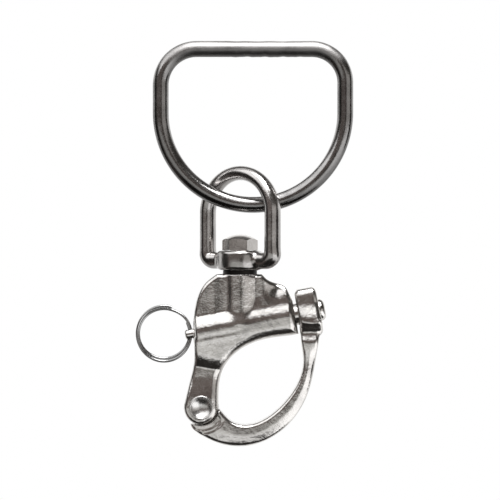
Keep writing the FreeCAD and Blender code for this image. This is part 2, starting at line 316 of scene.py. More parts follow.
def steel(name, colour, dull, grain, grain_size, swell=0.0, underside_shade=1.0, brushed=None):
    """Polished stainless: uneven gloss, faint stains, fine pits, and hand-polished unevenness.

    dull is the roughness where the polish is best and where it is worst. grain is the depth of the
    fine marks and grain_size their size, both in millimetres. swell is the height of the slow waves
    that casting and polishing leave, in millimetres. underside is how much of the colour is left on
    faces that look down: painted shade that darkens the lower faces. brushed is the extra roughness
    of a piece's top stretch, which is dressed by hand.
    """
    material = bpy.data.materials.new(name)
    material.use_nodes = True
    tree = material.node_tree
    shader = tree.nodes["Principled BSDF"]
    shader.inputs["Metallic"].default_value = 1.0
    place = node(tree, "ShaderNodeTexCoord").outputs["Object"]

    cloud = noise(tree, place, STAIN_SCALE, 3.0)
    fine = noise(tree, place, 1 / (grain_size * MM), 4.0)
    tint = node(tree, "ShaderNodeMix", data_type="RGBA")
    tint.inputs["A"].default_value = (*[STAIN_SHADE * c for c in colour], 1)
    tint.inputs["B"].default_value = (*colour, 1)
    specks = node(tree, "ShaderNodeMath", operation="MULTIPLY_ADD")
    tree.links.new(mapped(tree, fine, -0.45, 0.45), specks.inputs[0])
    specks.inputs[1].default_value = 1.0
    tree.links.new(mapped(tree, cloud, 0.2, 1, 0.32, 0.62), specks.inputs[2])
    tree.links.new(specks.outputs["Value"], tint.inputs["Factor"])
    # painted shade: faces that look down keep only the share underside of the colour
    facing = node(tree, "ShaderNodeSeparateXYZ")
    tree.links.new(node(tree, "ShaderNodeTexCoord").outputs["Normal"], facing.inputs[0])
    shade = node(tree, "ShaderNodeMix", data_type="RGBA", blend_type="MULTIPLY", Factor=1.0)
    tree.links.new(tint.outputs["Result"], shade.inputs["A"])
    tree.links.new(mapped(tree, facing.outputs["Z"], underside_shade, 1.0, -0.35, 0.15), shade.inputs["B"])
    tree.links.new(shade.outputs["Result"], shader.inputs["Base Color"])

    both = node(tree, "ShaderNodeMath", operation="MULTIPLY_ADD")
    tree.links.new(mapped(tree, fine, -0.35, 0.65), both.inputs[0])
    both.inputs[1].default_value = 0.5
    tree.links.new(cloud, both.inputs[2])
    gloss = mapped(tree, both.outputs["Value"], dull[0], dull[1], 0.25, 0.85)
    if brushed:
        spot = node(tree, "ShaderNodeSeparateXYZ")
        tree.links.new(place, spot.inputs[0])
        worn = node(tree, "ShaderNodeMath", operation="ADD")
        tree.links.new(gloss, worn.inputs[0])
        dressed = mapped(tree, spot.outputs["Z"], 0.0, brushed, DRESSED_FROM, DRESSED_TO)
        tree.links.new(dressed, worn.inputs[1])
        gloss = worn.outputs["Value"]
    tree.links.new(gloss, shader.inputs["Roughness"])

    normal = None
    long_waves = noise(tree, place, LONG_WAVE_SCALE, 1.0)
    short_waves = noise(tree, place, SHORT_WAVE_SCALE, 2.0)
    for height, depth in ((long_waves, swell), (short_waves, swell * SHORT_WAVE_SHARE), (fine, grain)):
        bump = node(tree, "ShaderNodeBump", Strength=1.0, Distance=depth * MM)
        tree.links.new(height, bump.inputs["Height"])
        if normal:
            tree.links.new(normal, bump.inputs["Normal"])
        normal = bump.outputs["Normal"]
    tree.links.new(normal, shader.inputs["Normal"])
    return material


CAST = steel("cast_steel", (0.74, 0.72, 0.70), (0.12, 0.22), 0.017, 0.28, swell=0.10)
# BAIL and WIRE: underside below 1 paints shade on their lower faces
BAIL = steel("bail_steel", (0.60, 0.58, 0.57), (0.12, 0.24), 0.010, 0.3, swell=0.05, underside_shade=0.6)
# the D-ring's wire has a darker colour than the cast steel: painted shade, as the ring takes less light
WIRE = steel("ring_steel", (0.46, 0.45, 0.445), (0.12, 0.24), 0.008, 0.4, swell=0.04, underside_shade=0.32,
             brushed=0.26)
TURNED = steel("turned_steel", (0.78, 0.76, 0.74), (0.08, 0.18), 0.004, 0.3)
BOLT = steel("bolt_steel", (0.74, 0.71, 0.69), (0.14, 0.26), 0.008, 0.3)
RIVET = steel("rivet_steel", (0.80, 0.79, 0.78), (0.22, 0.34), 0.006, 0.3)
SPRING = steel("spring_wire", (0.66, 0.64, 0.62), (0.12, 0.22), 0.004, 0.2)
SPLIT = steel("split_ring_wire", (0.44, 0.44, 0.44), (0.10, 0.20), 0.004, 0.2)
# near black: painted shade for the dark gap under the bail's hub, where the washer sits
WASHER = steel("washer_steel", (0.03, 0.028, 0.026), (0.35, 0.55), 0.010, 0.3)


def paint_node(name, material):
    data = frame["nodes"][name].data
    data.materials.clear()
    data.materials.append(material)


# ---------------------------------------------------------------- body
BARREL_RADIUS = 6.0
BARREL_LENGTH = 31.4
BORE_FLOOR = -27.6         # along the plunger's axis from the mouth
BOSS_RADIUS = 5.6
BOSS_HEIGHT = 15.8
CHEEK_RADIUS = 5.4
WEB_LEFT, WEB_RIGHT = 3.9, 4.9    # half depth of the web on the two sides of the boss
BLOCK_TOP, BLOCK_LEAN = 6.0, 0.12    # half depth of the block under the barrel, and how fast it thins below
CHEEK_NECK, CHEEK_HALF = 3.7, 4.5    # half depth over both cheeks, under the step and at the rivet
SLOT_HALF = 2.4
NOSE_RADIUS = 3.43
ROD_RADIUS = 1.65
RIVET_SHANK = 2.0
RIVET_SEAT = 3.3           # the rivet's dished heads are set into the cheeks
RIVET_FLOOR = 3.4
STEP_TOP, STEP_BOTTOM = -95.7, -101.0    # the slope down to the cheeks
STEP_SLOPE = 0.50
BARREL_END = 0.4           # how far the rounded end reaches past the mouth
BARREL_EDGE, BOSS_EDGE = 2.0, 0.5
BODY_FILLET = 0.9          # where the web, the barrel and the boss meet
HOLE_EDGE, ROD_HOLE_EDGE = 0.35, 0.3
SLOT_ROOM = 0.25           # the slot reaches this far past the cheeks' round ends
SHOULDER_HOLLOW = (2.1, 1.3)    # width and depth of the dip below the right shoulder
TRENCH_X, TRENCH_WIDTH, TRENCH_DEPTH = 1.0, 0.9, 0.4    # upright trench at the boss's right edge
TRENCH_LOW, TRENCH_FULL = -81.0, -77.0    # it fades in between these heights
RIDGE_X, RIDGE_WIDTH, RIDGE_HEIGHT = -12.0, 0.7, 0.12    # upright ridge left of the boss
STEP_LEAN = -0.16          # the step runs down a little towards the gate
EDGE_TOP, EDGE_LOW = 1.3, 2.5    # rounding of the outline's edges, above and along the inner side


def along_plunger(x, z):
    """Distance along the plunger's axis from the barrel's mouth, and height above the axis."""
    dx, dz = x - MOUTH[0], z - MOUTH[2]
    return dx * PLUNGER[0] + dz * PLUNGER[2], dz * PLUNGER[0] - dx * PLUNGER[2]


def on_plunger(s, t=0.0):
    return (MOUTH[0] + s * PLUNGER[0] - t * PLUNGER[2], MOUTH[2] + s * PLUNGER[2] + t * PLUNGER[0])


def around_pivot(radius, degrees):
    angle = math.radians(degrees)
    return (PIVOT[0] + radius * math.cos(angle), PIVOT[2] + radius * math.sin(angle))


LEFT_SIDE = [(-11.2, BODY_TOP), (-14.7, -72.7), (-17.4, -77.8), (-18.3, -83.5), (-18.3, -90.0),
             (-18.2, -96.6), (-19.4, -102.5), around_pivot(CHEEK_RADIUS, 163)]
INNER_SIDE = [around_pivot(CHEEK_RADIUS, 8), (-10.6, -105.6), (-9.6, -100.2), (-6.9, -95.9), (-2.0, -92.2),
               (3.7, -90.1), on_plunger(-2.0, -6.0)]
SHOULDER = [on_plunger(BARREL_END, 4.6), on_plunger(-0.2, 6.9), (10.0, -74.0), (7.2, -72.8), (4.4, -71.6),
            (2.8, BODY_TOP)]
body_outline = Outline([
    smooth_curve(LEFT_SIDE),
    round_arc((PIVOT[0], PIVOT[2]), CHEEK_RADIUS, 163, 368),
    smooth_curve(INNER_SIDE),
    np.array([on_plunger(BARREL_END, -6.0)]),
    smooth_curve(SHOULDER),
])


def hill(x, z, centre, width, height):
    """A round hill on a face."""
    across = (x - centre[0]) ** 2 + (z - centre[1]) ** 2
    return height * np.exp(-across / (2 * width ** 2))


def between(value, knots):
    """A smooth profile through (place, height) knots, level at each of them."""
    height = knots[0][1]
    for (start, before), (end, after) in zip(knots, knots[1:]):
        height = height + (after - before) * smooth_step(value, start, end)
    return height


def body_half_depth(x, z, t):
    """Half depth of the body's faces: a web on top, a thick block below it, then a step to the cheeks."""
    web = WEB_LEFT + (WEB_RIGHT - WEB_LEFT) * smooth_step(x, SWIVEL[0] - 3, SWIVEL[0] + 3)
    web = web - hill(x, z, on_plunger(-3.0, 9.8), *SHOULDER_HOLLOW)
    trench = hill(x, 0, (TRENCH_X, 0), TRENCH_WIDTH, TRENCH_DEPTH)
    web = web - trench * smooth_step(z, TRENCH_LOW, TRENCH_FULL)
    web = web + hill(x, 0, (RIDGE_X, 0), RIDGE_WIDTH, RIDGE_HEIGHT)
    drop = STEP_TOP + STEP_LEAN * (x - PIVOT[0]) - z
    block = BLOCK_TOP + BLOCK_LEAN * np.minimum(t, 0)
    step = BLOCK_TOP - BLOCK_LEAN * (MOUTH[2] - STEP_TOP) / 2 - STEP_SLOPE * drop
    cheek = CHEEK_NECK + (CHEEK_HALF - CHEEK_NECK) * smooth_step(z, STEP_BOTTOM - 0.5, PIVOT[2] + 2.5)
    low = smooth_max(smooth_min(block, step, 0.8), cheek, 0.25)
    return web + (low - web) * smooth_step(t, 0.5, -3.0)


def body_field(x, y, z):
    s, t = along_plunger(x, z)
    depth = np.abs(y)
    edge = body_outline(x, z)
    rounding = EDGE_TOP + (EDGE_LOW - EDGE_TOP) * smooth_step(t, 2.0, -3.0) * smooth_step(x, -17.0, -14.0)
    web = slab(edge, depth - body_half_depth(x, z, t), rounding)
    past_ends = np.abs(s + BARREL_LENGTH / 2) - BARREL_LENGTH / 2 - BARREL_END
    barrel = slab(np.hypot(t, y) - BARREL_RADIUS, past_ends, BARREL_EDGE)
    barrel = smooth_max(barrel, edge + 0.1, 1.5)
    boss_middle = BODY_TOP - BOSS_HEIGHT / 2
    past_boss = np.abs(z - boss_middle) - BOSS_HEIGHT / 2
    boss = slab(np.hypot(x - SWIVEL[0], y) - BOSS_RADIUS, past_boss, BOSS_EDGE)
    solid = smooth_min(web, barrel, BODY_FILLET)
    solid = smooth_min(solid, boss, BODY_FILLET)
    bore = np.maximum(np.hypot(t, y) - NOSE_RADIUS - RUNNING, BORE_FLOOR - s)
    rod_hole = np.maximum(np.hypot(t, y) - ROD_RADIUS - RUNNING, s - BORE_FLOOR - 1)
    reach = np.hypot(x - PIVOT[0], z - PIVOT[2])
    slot = np.maximum(reach - CHEEK_RADIUS - SLOT_ROOM, depth - SLOT_HALF)
    solid = smooth_max(solid, -bore, HOLE_EDGE)
    solid = smooth_max(solid, -rod_hole, ROD_HOLE_EDGE)
    solid = smooth_max(solid, -slot, HOLE_EDGE)
    head_seat = np.maximum(reach - RIVET_SEAT, RIVET_FLOOR - depth)
    return np.maximum(solid, -head_seat)


body = cast_piece("body_casting", body_field, "body", GRID_CELL, CAST)
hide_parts("body")
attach(body, "shackle")


# ---------------------------------------------------------------- gate
GATE_CLEAR = CHEEK_RADIUS + 0.14    # radius of the arm's hollow root
ROOT_RADIUS = CHEEK_RADIUS - 1.0    # its outline runs on to here before the hollow is cut
HEAD_START, HEAD_LENGTH = 1.4, 6.8    # the eye, along the plunger's axis from the mouth
HEAD_RADIUS, HEAD_HALF = 7.6, 6.2
HEAD_POWER = 5             # how square the eye's section is: 2 is an ellipse
HEAD_EDGE, ARM_EDGE = 1.4, 1.1
HEAD_FILLET = 1.0
EYE_FIT = 0.1              # clearance of the nose in the eye
ARM_HALF = 4.2
ARM_SLOPE = 0.75           # how much the arm thins towards its outer edge
HEAD_PROFILE = [(78.1, 4.6), (84.7, HEAD_HALF), (88.0, 4.3), (91.2, 5.0), (98.0, ARM_HALF)]    # down the head
SHOULDER_RADII = (6.7, 7.8)    # two round shoulders where the arm meets the cheeks
SHOULDER_STEP = 0.22
BRIDGE_OVERLAP = 0.6       # the bridge from knuckle to arm runs this far into both
BRIDGE_MIDDLE, BRIDGE_SPREAD = 302, 41    # its middle and its reach each way, in degrees round the pivot

HEEL_RADIUS, HEEL_ANGLE = 5.85, 235    # the arm's end behind the cheeks, round the pivot
GATE_OPEN = math.radians(joints["gate_pivot"]["range_deg"][1])
HEEL_CLEAR = 0.1           # the heel is cut away where the cheeks are once the gate is open
GATE_OUTER = [on_plunger(HEAD_START + HEAD_LENGTH, -2.5), (20.4, -90.5), (19.4, -96.7), (17.3, -106.1),
              (12.8, -114.5), (5.9, -120.5), (-2.8, -123.3), (-9.6, -122.7), (-15.3, -120.3),
              around_pivot(HEEL_RADIUS, HEEL_ANGLE), around_pivot(ROOT_RADIUS, HEEL_ANGLE - 3)]
GATE_INNER = [around_pivot(ROOT_RADIUS, 12), (-8.9, -113.5), (-6.5, -115.7), (-1.2, -116.6), (5.3, -113.8),
              (10.9, -108.4), (14.2, -103.0), (15.6, -97.0), (15.0, -91.6), on_plunger(HEAD_START, -4.0)]
gate_outline = Outline([
    smooth_curve(GATE_OUTER),
    round_arc((PIVOT[0], PIVOT[2]), ROOT_RADIUS, HEEL_ANGLE - 3, 372),
    smooth_curve(GATE_INNER),
])
inner_edge = Outline([smooth_curve(GATE_INNER)], closed=False)
outer_edge = Outline([smooth_curve(GATE_OUTER)], closed=False)


def opened(x, z):
    """Where a point of the closed gate comes to lie in the body's plane when the gate is open."""
    dx, dz = x - PIVOT[0], z - PIVOT[2]
    return (PIVOT[0] + dx * math.cos(GATE_OPEN) + dz * math.sin(GATE_OPEN),
            PIVOT[2] - dx * math.sin(GATE_OPEN) + dz * math.cos(GATE_OPEN))


def knuckle_field(x, z, depth, reach):
    """The tongue between the cheeks, and the bridge that joins it to the arm."""
    inner_half = SLOT_HALF - FACE_GAP
    knuckle = slab(reach - CHEEK_RADIUS, depth - inner_half, 0.3)
    angle = np.degrees(np.arctan2(z - PIVOT[2], x - PIVOT[0])) % 360
    bridge = np.maximum(reach - GATE_CLEAR - BRIDGE_OVERLAP, CHEEK_RADIUS - BRIDGE_OVERLAP - reach)
    bridge = np.maximum(bridge, depth - inner_half)
    bridge = np.maximum(bridge, 0.1 * (np.abs(angle - BRIDGE_MIDDLE) - BRIDGE_SPREAD))
    return np.minimum(knuckle, bridge)


def gate_field(x, y, z):
    s, t = along_plunger(x, z)
    depth = np.abs(y)
    edge = gate_outline(x, z)
    from_inner = inner_edge(x, z)
    share = from_inner / (from_inner + outer_edge(x, z) + 0.01)
    profile = between(-z, HEAD_PROFILE)
    reach = np.hypot(x - PIVOT[0], z - PIVOT[2])
    half = profile - ARM_SLOPE * smooth_step(share, 0.42, 1.05) * smooth_step(t, -9, -14)
    for radius in SHOULDER_RADII:
        fade = smooth_step(from_inner, 0.8, 2.4)
        half = half - SHOULDER_STEP * smooth_step(reach, radius + 0.8, radius) * fade
    arm = slab(edge, depth - half, ARM_EDGE)
    middle = HEAD_START + HEAD_LENGTH / 2
    round_head = np.abs(t / HEAD_RADIUS) ** HEAD_POWER + (depth / profile) ** HEAD_POWER
    round_head = round_head ** (1 / HEAD_POWER)
    head = slab((round_head - 1) * HEAD_HALF, np.abs(s - middle) - HEAD_LENGTH / 2, HEAD_EDGE)
    solid = smooth_min(arm, head, HEAD_FILLET)
    solid = smooth_max(solid, GATE_CLEAR - reach, 0.3)
    solid = smooth_max(solid, HEEL_CLEAR - body_outline(*opened(x, z)), 0.2)
    solid = np.minimum(solid, knuckle_field(x, z, depth, reach))
    eye = np.hypot(t, y) - NOSE_RADIUS - EYE_FIT
    solid = smooth_max(solid, -eye, HOLE_EDGE)
    return np.maximum(solid, RIVET_SHANK + RUNNING - reach)


gate = cast_piece("gate_arm", gate_field, "gate", GRID_CELL, CAST)
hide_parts("gate")
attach(gate, "gate")


# ---------------------------------------------------------------- bail
BAIL_TURN = math.radians(35.0)
BAIL_RADIUS = 12.3
BAIL_CORNER = 2.5
BAIL_CROWN_Z = -50.85
HUB_HEIGHT = 6.0
HUB_RADIUS = 7.3
FOOT_Z = HUB_BOTTOM + HUB_HEIGHT / 2
HUB_BULGE, HUB_EDGE, HUB_FILLET = 0.35, 1.0, 1.4
BAR_THICK, BAR_DEEP = 2.35, 2.9    # half thickness in the bail's own plane and across it
CROWN_THIN, CROWN_SHALLOW = 0.12, 0.2    # how much less both are at the crown
FOOT_SWELL = 0.35          # and how much thicker the bar is at the foot
BOLT_RADIUS = 3.0
BOLT_SEAT = 5.9            # the bolt's head turns freely over the hub out to here
BAIL_CELL = 0.22           # a finer grid than the castings have


def bail_line(u, z):
    """Distance to the centre line of the bail's loop, in the bail's own plane."""
    arch = np.abs(np.hypot(u, z - BAIL_CROWN_Z) - BAIL_RADIUS)
    side, corner_z = np.abs(u), FOOT_Z + BAIL_CORNER
    inner_u = BAIL_RADIUS - BAIL_CORNER
    leg = np.hypot(side - BAIL_RADIUS, np.maximum(corner_z - z, 0))
    corner = np.abs(np.hypot(side - inner_u, z - corner_z) - BAIL_CORNER)
    corner = np.where((side > inner_u) & (z < corner_z), corner, 1e3)
    foot = np.hypot(z - FOOT_Z, np.maximum(side - inner_u, 0))
    low = np.minimum(np.minimum(leg, corner), foot)
    return np.where(z > BAIL_CROWN_Z, arch, low)


def bail_field(x, y, z):
    dx = x - SWIVEL[0]
    u = dx * math.cos(BAIL_TURN) - y * math.sin(BAIL_TURN)
    w = dx * math.sin(BAIL_TURN) + y * math.cos(BAIL_TURN)
    crown = smooth_step(z, BAIL_CROWN_Z, BAIL_CROWN_Z + BAIL_RADIUS)
    foot = smooth_step(z, FOOT_Z + 4.5, FOOT_Z)
    thick = BAR_THICK - CROWN_THIN * crown + FOOT_SWELL * foot
    deep = BAR_DEEP - CROWN_SHALLOW * crown
    round_bar = (np.hypot(bail_line(u, z) / thick, w / deep) - 1) * thick
    reach = np.hypot(dx, y)
    bulge = HUB_BULGE * ((z - FOOT_Z) / (HUB_HEIGHT / 2)) ** 2
    hub = slab(reach - HUB_RADIUS + bulge, np.abs(z - FOOT_Z) - HUB_HEIGHT / 2, HUB_EDGE)
    solid = smooth_min(round_bar, hub, HUB_FILLET)
    head_room = np.maximum(reach - BOLT_SEAT, np.abs(z - FOOT_Z - HUB_HEIGHT) - HUB_HEIGHT / 2)
    solid = smooth_max(solid, -head_room, 0.2)
    bore = np.maximum(reach - BOLT_RADIUS - RUNNING, np.abs(z - FOOT_Z) - HUB_HEIGHT)
    return smooth_max(solid, -bore, 0.4)


bail = cast_piece("bail_loop", bail_field, "bail", BAIL_CELL, BAIL)
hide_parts("bail")
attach(bail, "bail")


# ---------------------------------------------------------------- D-ring
WIRE_RADIUS = 2.5
RING_HALF = RING_HIGH[0] - WIRE_RADIUS
RING_BOTTOM = RING_LOW[2] + WIRE_RADIUS
LEFT_CORNER, RIGHT_CORNER = 11.2, 10.4    # the two bends are not quite alike
AROUND = 48                # points round the wire


def ring_route():
    """Centre line of the D-ring, clockwise from the left end of the bar."""
    left_x, right_x = LEFT_CORNER - RING_HALF, RING_HALF - RIGHT_CORNER
    bow_z = RING_BOTTOM + RING_HALF
    bar = np.stack([np.linspace(left_x, right_x, 180, endpoint=False), np.zeros(180)], 1)
    right = round_arc((right_x, -RIGHT_CORNER), RIGHT_CORNER, 90, 0, 50)
    right_z = np.linspace(-RIGHT_CORNER, bow_z, 24)[1:-1]
    right_side = np.stack([np.full(len(right_z), RING_HALF), right_z], 1)
    bow = round_arc((0, bow_z), RING_HALF, 0, -180, 220)
    left_z = np.linspace(bow_z, -LEFT_CORNER, 24)[1:-1]
    left_side = np.stack([np.full(len(left_z), -RING_HALF), left_z], 1)
    left = round_arc((left_x, -LEFT_CORNER), LEFT_CORNER, 180, 90, 50)[:-1]
    return np.concatenate([bar, right, right_side, bow, left_side, left])


def weld_swell(x, angle):
    """How far the butt weld stands proud below, and is ground down above. angle 0 is the top."""
    in_weld = smooth_step(x, -8.0, -4.5) * smooth_step(x, 17.5, 13.0)
    lumps = 0.5 * np.sin(1.1 * x + 0.8) + 0.3 * np.sin(2.3 * x + 2.1) + 0.2 * np.sin(0.47 * x - 1.0)
    below = np.maximum(-np.cos(angle), 0) ** 1.5
    above = np.maximum(np.cos(angle), 0) ** 6
    ground = 0.10 + 0.05 * np.sin(0.8 * x + 0.4)
    return in_weld * (0.12 * lumps * below - ground * above)


def make_d_ring():
    route = ring_route()
    tangent = np.roll(route, -1, 0) - np.roll(route, 1, 0)
    tangent /= np.linalg.norm(tangent, axis=1)[:, None]
    outward = np.stack([-tangent[:, 1], tangent[:, 0]], 1)
    angle = np.linspace(0, 2 * math.pi, AROUND, endpoint=False)[None, :]
    on_bar = (np.abs(route[:, 1]) < 1e-6)[:, None]
    radius = WIRE_RADIUS + np.where(on_bar, weld_swell(route[:, :1], angle), 0)
    across = radius * np.cos(angle)
    x = route[:, :1] + across * outward[:, :1]
    z = route[:, 1:] + across * outward[:, 1:]
    y = radius * np.sin(angle)
    points = np.stack([x, y, z], 2).reshape(-1, 3)
    i = np.arange(len(route))[:, None]
    j = np.arange(AROUND)[None, :]
    after_i, after_j = (i + 1) % len(route), (j + 1) % AROUND
    here, ahead = i * AROUND, after_i * AROUND
    faces = np.stack([here + j, ahead + j, ahead + after_j, here + after_j], 2)
    return piece_from_points("d_ring_wire", points, faces.reshape(-1, 4).tolist(), WIRE)


d_ring = make_d_ring()
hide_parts("d_ring")
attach(d_ring, "d_ring")


# ---------------------------------------------------------------- rivet with deep dished heads
RIVET_RADIUS = 3.73
DISH_RADIUS = 3.1          # out to where the dish meets the head's round rim
DISH_SPHERE = 4.6
RIVET_SEAT_FIT = 0.02


def lathe(name, profile, place, material, count=96):
    """A piece turned about the line through place along Y. The profile is (radius, y) points."""
    profile = np.array(profile, float)
    angle = np.linspace(0, 2 * math.pi, count, endpoint=False)[:, None]
    x = place[0] + profile[:, 0] * np.cos(angle)
    z = place[2] + profile[:, 0] * np.sin(angle)
    y = place[1] + np.broadcast_to(profile[:, 1], x.shape)
    points = np.stack([x, y, z], 2).reshape(-1, 3)
    rows = len(profile)
    i = np.arange(count)[:, None]
    j = np.arange(rows - 1)[None, :]
    after = (i + 1) % count
    faces = np.stack([i * rows + j, after * rows + j, after * rows + j + 1, i * rows + j + 1], 2)
    rims = (np.arange(count) * rows)[:, None] + (0, rows - 1)
    ends = [rims[::-1, 0].tolist(), rims[:, 1].tolist()]
    return piece_from_points(name, points, faces.reshape(-1, 4).tolist() + ends, material)


def rivet_profile():
    """From the middle of one dish, over its rim, along the shank, to the middle of the other dish."""
    top = RIVET_TOP
    rim_middle = (RIVET_RADIUS + DISH_RADIUS) / 2
    rim_round = (RIVET_RADIUS - DISH_RADIUS) / 2
    edge_slope = math.asin(DISH_RADIUS / DISH_SPHERE)
    dish_low = top - rim_round - DISH_SPHERE * (1 - math.cos(edge_slope))
    half = []
    for slope_angle in np.linspace(0.004, edge_slope, 14):
        sag = DISH_SPHERE * (1 - math.cos(slope_angle))
        half.append((DISH_SPHERE * math.sin(slope_angle), dish_low + sag))
    for angle in np.linspace(math.pi, 0, 9)[1:]:
        half.append((rim_middle + rim_round * math.cos(angle), top - rim_round + rim_round * math.sin(angle)))
    half.append((RIVET_RADIUS, CHEEK_HALF))
    half.append((RIVET_SEAT - RIVET_SEAT_FIT, CHEEK_HALF))
    half.append((RIVET_SEAT - RIVET_SEAT_FIT, RIVET_FLOOR))
    half.append((RIVET_SHANK, RIVET_FLOOR))
    return half + [(radius, -y) for radius, y in half[::-1]]


rivet = lathe("rivet_dished", rivet_profile(), PIVOT, RIVET)
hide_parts("gate_rivet")
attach(rivet, "shackle")


# ---------------------------------------------------------------- wire pieces: split ring and spring
END_TAPER = (0.5, 0.8)     # the wire's last two points have these shares of its radius


def wire(name, route, axis, radius, material, around=16):
    """A round wire along a route that winds about axis, tapered to a blunt end at both ends."""
    tangent = np.gradient(route, axis=0)
    tangent /= np.linalg.norm(tangent, axis=1)[:, None]
    side = np.cross(tangent, axis)
    side /= np.linalg.norm(side, axis=1)[:, None]
    up = np.cross(side, tangent)
    width = np.full(len(route), radius)
    for k, share in enumerate(END_TAPER):
        width[k] = width[-1 - k] = share * radius
    angle = np.linspace(0, 2 * math.pi, around, endpoint=False)
    ring = side[:, None] * np.cos(angle)[None, :, None] + up[:, None] * np.sin(angle)[None, :, None]
    points = (route[:, None] + width[:, None, None] * ring).reshape(-1, 3)
    here = np.arange(len(route) - 1)[:, None] * around
    ahead = here + around
    j = np.arange(around)[None, :]
    after = (j + 1) % around
    quads = np.stack([here + j, ahead + j, ahead + after, here + after], 2)
    last = (len(route) - 1) * around
    ends = [list(range(around)), list(range(last + around - 1, last - 1, -1))]
    faces = quads.reshape(-1, 4).tolist() + ends
    return piece_from_points(name, points, faces, material, ring.reshape(-1, 3))


PULL_RADIUS = 8.15
PULL_WIRE_RADIUS = 0.45
PULL_END_ANGLE = 73.0      # where the outer turn ends, seen from the front
PULL_RISE = 0.2            # the ring's middle lies this far above the cross hole
PULL_PRESS = 0.93          # the turns lie this many wire radii from their middle plane
PULL_SPREAD = (0.22, 0.22)    # half the difference of the turns' radii at the sides, and its gain above


def split_ring_route():
    """Two turns: they lie side by side, and step over where the first one ends."""
    turn = np.linspace(0, 4 * math.pi - 0.8, 420)
    angle = math.radians(PULL_END_ANGLE) + turn
    over = smooth_step(turn, 2 * math.pi - 0.75, 2 * math.pi + 0.1)
    side = PULL_WIRE_RADIUS * PULL_PRESS * (2 * over - 1)
    spread = PULL_SPREAD[0] + PULL_SPREAD[1] * np.sin(angle) ** 2
    radius = PULL_RADIUS + spread * (1 - 2 * smooth_step(turn, 2 * math.pi - 1.2, 2 * math.pi))
    x = PULL_HOLE[0] - PULL_RADIUS + radius * np.cos(angle)
    return np.stack([x, side, PULL_HOLE[2] + PULL_RISE + radius * np.sin(angle)], 1)


pull_ring = wire("split_ring", split_ring_route(), (0, 1, 0), PULL_WIRE_RADIUS, SPLIT)
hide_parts("pull_ring")
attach(pull_ring, "pull_ring")

SPRING_RADIUS, SPRING_WIRE_RADIUS = 2.9, 0.4
SPRING_COILS = 7
COIL_POINTS = 56           # points of the route in each coil
NOSE_GUIDED = 8.0          # length of the nose inside the barrel; the spring bears on its end
SPRING_ENDS = (BORE_FLOOR + RUNNING, -NOSE_GUIDED - RUNNING)    # along the plunger's axis, at rest


def spring_route():
    """A helix on the plunger's axis. Its first and last half turns lie flat."""
    low, high = SPRING_ENDS[0] + SPRING_WIRE_RADIUS, SPRING_ENDS[1] - SPRING_WIRE_RADIUS
    turn = np.linspace(0, SPRING_COILS, COIL_POINTS * SPRING_COILS)
    share = np.clip((turn - 0.5) / (SPRING_COILS - 1), 0, 1)
    s = low + (high - low) * share
    angle = 2 * math.pi * turn
    x, z = on_plunger(s, SPRING_RADIUS * np.cos(angle))
    return np.stack([x, SPRING_RADIUS * np.sin(angle), z], 1)


spring = wire("plunger_coil", spring_route(), PLUNGER, SPRING_WIRE_RADIUS, SPRING, 10)
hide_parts("plunger_spring")
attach(spring, "shackle")
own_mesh(spring)


# ---------------------------------------------------------------- pieces that keep their CAD shape
for name, material in (("swivel_bolt", BOLT), ("swivel_washer", WASHER), ("plunger", TURNED)):
    paint_node(name, material)


# ---------------------------------------------------------------- floor, light, camera
FLOOR_HALF = 0.55          # metres, as everything below
FLOOR_DROP = 0.075         # the floor lies this far under the object, which hangs
FRAME_WIDTH = 0.1555       # what the camera takes in at the object
CAMERA_AIM = (-0.00093, 0, -0.0625)
CAMERA_DISTANCE = 0.80
SENSOR_WIDTH = 36.0        # millimetres, as cameras give it


def make_floor():
    size, height = FLOOR_HALF, cad_low[2] - FLOOR_DROP
    corners = [(-size, -size, height), (size, -size, height), (size, size, height), (-size, size, height)]
    mesh = bpy.data.meshes.new("floor")
    mesh.from_pydata(corners, [], [(0, 1, 2, 3)])
    floor = bpy.data.objects.new("floor", mesh)
    bpy.context.scene.collection.objects.link(floor)
    paper = bpy.data.materials.new("floor_paper")
    paper.use_nodes = True
    shader = paper.node_tree.nodes["Principled BSDF"]
    shader.inputs["Base Color"].default_value = (0.9, 0.9, 0.9, 1)
    shader.inputs["Roughness"].default_value = 0.9
    mesh.materials.append(paper)
    floor.visible_glossy = False


